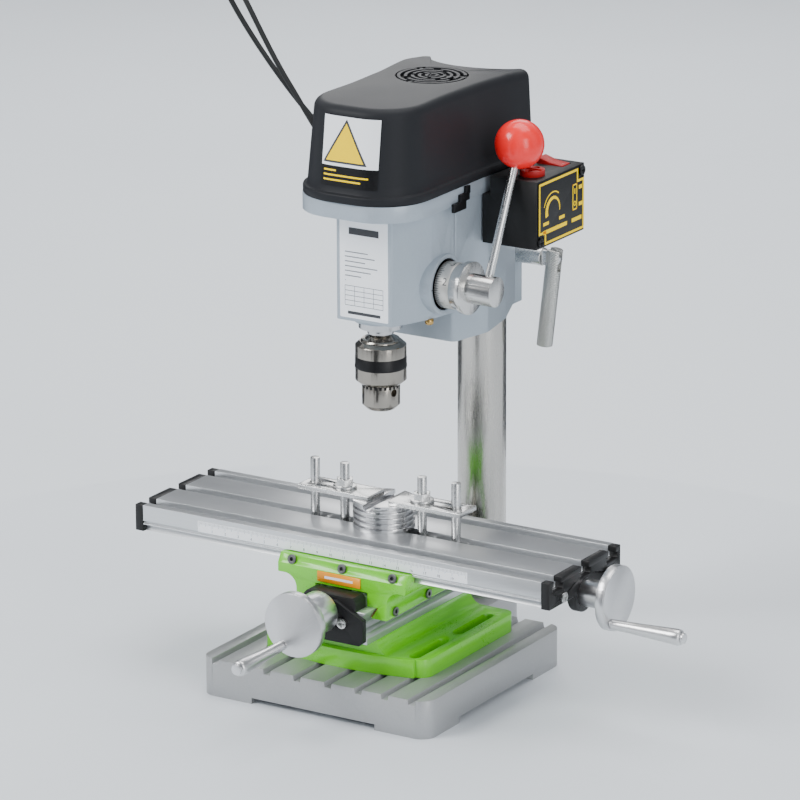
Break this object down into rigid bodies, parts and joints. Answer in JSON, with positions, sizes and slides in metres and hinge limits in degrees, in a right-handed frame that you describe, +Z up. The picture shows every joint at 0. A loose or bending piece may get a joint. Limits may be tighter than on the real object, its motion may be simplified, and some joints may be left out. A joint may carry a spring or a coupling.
{
  "type": "benchtop milling machine",
  "caption": "Benchtop column milling and drilling machine with belt-driven spindle, quill feed lever, keyed chuck and compound cross table with clamps.",
  "frame": {"origin": "on the bench plane, straight below the spindle axis", "axes": "+X runs right along the table, +Y runs back towards the column, +Z is up"},
  "size_m": [0.402, 0.3406, 0.4319],
  "materials": {
    "base_silver": "silver-grey enamel",
    "polished_steel": "polished",
    "green_enamel": "gloss lime-green enamel",
    "anodised_aluminium": "satin anodised",
    "black_plastic": "fine matt",
    "zinc_steel": "bright zinc",
    "orange_label": "gloss film",
    "brass_gib": "machined",
    "black_oxide": "black oxide",
    "bronze_nut": "machined",
    "turned_aluminium": "bright turned",
    "white_scale": "satin film",
    "head_enamel": "light blue-grey hammered enamel",
    "cover_black": "satin black enamel",
    "motor_black": "satin",
    "belt_rubber": "matt",
    "nickel": "satin nickel",
    "ball_red": "gloss",
    "spring_steel": "blued",
    "panel_film": "black film with yellow print",
    "control_red": "gloss",
    "cord_black": "matt PVC"
  },
  "bodies": {
    "base": {"base_plate": "base_silver", "cross_table_base": "green_enamel", "y_rail": "anodised_aluminium", "y_front_cap": "black_plastic", "y_rear_cap": "black_plastic", "y_cap_screws": "zinc_steel"},
    "column": {"column": "polished_steel"},
    "head": {"head_casting": "head_enamel", "cover_clips": "black_oxide", "motor": "motor_black", "drive_belt": "belt_rubber", "spring_housing": "head_enamel", "return_spring": "spring_steel", "control_box": "black_plastic", "control_panel": "panel_film", "panel_screws": "black_oxide", "power_cord": "cord_black", "mains_plug": "cord_black"},
    "belt_cover": {"belt_cover": "cover_black"},
    "motor_rotor": {"motor_shaft": "polished_steel", "motor_pulley": "turned_aluminium"},
    "spindle_pulley": {"spindle_pulley": "turned_aluminium"},
    "quill": {"quill": "polished_steel", "quill_bearings": "polished_steel"},
    "spindle": {"spindle": "polished_steel", "chuck_body": "nickel"},
    "chuck_sleeve": {"chuck_sleeve": "nickel"},
    "jaw_a": {"chuck_jaw_a": "polished_steel"},
    "jaw_b": {"chuck_jaw_b": "polished_steel"},
    "jaw_c": {"chuck_jaw_c": "polished_steel"},
    "feed_shaft": {"pinion_shaft": "polished_steel", "feed_hub": "turned_aluminium", "feed_lever": "polished_steel", "lever_ball": "ball_red"},
    "depth_dial": {"depth_dial": "turned_aluminium"},
    "speed_knob": {"speed_knob": "control_red"},
    "power_rocker": {"power_rocker": "control_red"},
    "clamp_bolt": {"clamp_bolt": "zinc_steel"},
    "clamp_handle": {"clamp_handle": "zinc_steel"},
    "saddle": {"saddle": "green_enamel", "saddle_plate": "orange_label", "gib_strips": "brass_gib", "gib_screws": "black_oxide", "feed_nuts": "bronze_nut"},
    "y_screw": {"y_lead_screw": "polished_steel", "y_handwheel": "turned_aluminium"},
    "y_grip": {"y_crank_grip": "turned_aluminium"},
    "table": {"table": "anodised_aluminium", "table_left_cap": "black_plastic", "table_right_cap": "black_plastic", "table_cap_screws": "zinc_steel", "scale_strip": "white_scale", "workpiece": "turned_aluminium"},
    "x_screw": {"x_lead_screw": "polished_steel", "x_handwheel": "turned_aluminium"},
    "x_grip": {"x_crank_grip": "turned_aluminium"},
    "left_clamp": {"left_clamp_strap": "zinc_steel", "left_clamp_fasteners": "zinc_steel"},
    "right_clamp": {"right_clamp_strap": "zinc_steel", "right_clamp_fasteners": "zinc_steel"}
  },
  "joints": [
    {"name": "head_swing", "type": "hinge", "parent": "base", "child": "column", "pos_m": [0, 0.125, 0.2], "axis": [0, 0, 1], "range_deg": [-45, 45]},
    {"name": "head_lift", "type": "slide", "parent": "column", "child": "head", "axis": [0, 0, 1], "range_m": [-0.025, 0.045]},
    {"name": "quill_feed", "type": "slide", "parent": "head", "child": "quill", "axis": [0, 0, -1], "range_m": [0, 0.03]},
    {"name": "feed_lever_turn", "type": "hinge", "parent": "head", "child": "feed_shaft", "pos_m": [0.0655, 0.02, 0.264], "axis": [1, 0, 0], "range_deg": [0, 172]},
    {"name": "depth_dial_set", "type": "hinge", "parent": "feed_shaft", "child": "depth_dial", "pos_m": [0.04, 0.02, 0.264], "axis": [1, 0, 0], "continuous": true},
    {"name": "spindle_spin", "type": "hinge", "parent": "quill", "child": "spindle", "pos_m": [0, 0, 0.23], "axis": [0, 0, 1], "continuous": true},
    {"name": "spindle_pulley_spin", "type": "hinge", "parent": "head", "child": "spindle_pulley", "pos_m": [0, 0, 0.34], "axis": [0, 0, 1], "continuous": true},
    {"name": "motor_spin", "type": "hinge", "parent": "head", "child": "motor_rotor", "pos_m": [0, 0.062, 0.34], "axis": [0, 0, 1], "continuous": true},
    {"name": "chuck_sleeve_turn", "type": "hinge", "parent": "spindle", "child": "chuck_sleeve", "pos_m": [0, 0, 0.21], "axis": [0, 0, 1], "range_deg": [-60, 90]},
    {"name": "jaw_a_grip", "type": "slide", "parent": "spindle", "child": "jaw_a", "axis": [-0.1228, -0.1228, -0.9848], "range_m": [-0.0041, 0.0061]},
    {"name": "jaw_b_grip", "type": "slide", "parent": "spindle", "child": "jaw_b", "axis": [0.1677, -0.0449, -0.9848], "range_m": [-0.0041, 0.0061]},
    {"name": "jaw_c_grip", "type": "slide", "parent": "spindle", "child": "jaw_c", "axis": [-0.0449, 0.1677, -0.9848], "range_m": [-0.0041, 0.0061]},
    {"name": "cover_lift", "type": "slide", "parent": "head", "child": "belt_cover", "axis": [0, 0, 1], "range_m": [0, 0.065]},
    {"name": "speed_knob_turn", "type": "hinge", "parent": "head", "child": "speed_knob", "pos_m": [0.069, 0.071, 0.33], "axis": [0, 0, -1], "range_deg": [0, 270]},
    {"name": "power_rocker_tip", "type": "hinge", "parent": "head", "child": "power_rocker", "pos_m": [0.0655, 0.1035, 0.3268], "axis": [0, -1, 0], "range_deg": [0, 16]},
    {"name": "clamp_bolt_turn", "type": "hinge", "parent": "head", "child": "clamp_bolt", "pos_m": [0.02, 0.153, 0.2495], "axis": [1, 0, 0], "range_deg": [-30, 150]},
    {"name": "clamp_handle_fold", "type": "hinge", "parent": "clamp_bolt", "child": "clamp_handle", "pos_m": [0.038, 0.153, 0.2495], "axis": [0, -1, 0], "range_deg": [-5, 97]},
    {"name": "y_screw_turn", "type": "hinge", "parent": "base", "child": "y_screw", "pos_m": [0, -0.09, 0.0678], "axis": [0, 1, 0], "range_deg": [-2910, 6990]},
    {"name": "y_grip_spin", "type": "hinge", "parent": "y_screw", "child": "y_grip", "pos_m": [-0.008, -0.13, 0.0532], "axis": [0, 1, 0], "continuous": true},
    {"name": "saddle_slide", "type": "slide", "parent": "base", "child": "saddle", "axis": [0, 1, 0], "range_m": [-0.012, 0.029]},
    {"name": "x_screw_turn", "type": "hinge", "parent": "table", "child": "x_screw", "pos_m": [0.16, 0.0045, 0.0835], "axis": [1, 0, 0], "range_deg": [-19230, 19230]},
    {"name": "x_grip_spin", "type": "hinge", "parent": "x_screw", "child": "x_grip", "pos_m": [0.2, -0.0065, 0.07], "axis": [1, 0, 0], "continuous": true},
    {"name": "table_slide", "type": "slide", "parent": "saddle", "child": "table", "axis": [1, 0, 0], "range_m": [-0.08, 0.08]},
    {"name": "left_clamp_shift", "type": "slide", "parent": "table", "child": "left_clamp", "axis": [-1, 0, 0], "range_m": [0, 0.06]},
    {"name": "right_clamp_shift", "type": "slide", "parent": "table", "child": "right_clamp", "axis": [1, 0, 0], "range_m": [0, 0.06]}
  ],
  "couplings": [
    {"joint": "feed_lever_turn", "follows": "quill_feed", "rad_per_m": 100},
    {"joint": "spindle_pulley_spin", "follows": "spindle_spin", "ratio": 1},
    {"joint": "motor_spin", "follows": "spindle_spin", "ratio": 1},
    {"joint": "jaw_a_grip", "follows": "chuck_sleeve_turn", "m_per_rad": 0.00382},
    {"joint": "jaw_b_grip", "follows": "chuck_sleeve_turn", "m_per_rad": 0.00382},
    {"joint": "jaw_c_grip", "follows": "chuck_sleeve_turn", "m_per_rad": 0.00382},
    {"joint": "y_screw_turn", "follows": "saddle_slide", "rad_per_m": 4188.8},
    {"joint": "x_screw_turn", "follows": "table_slide", "rad_per_m": 4188.8}
  ]
}
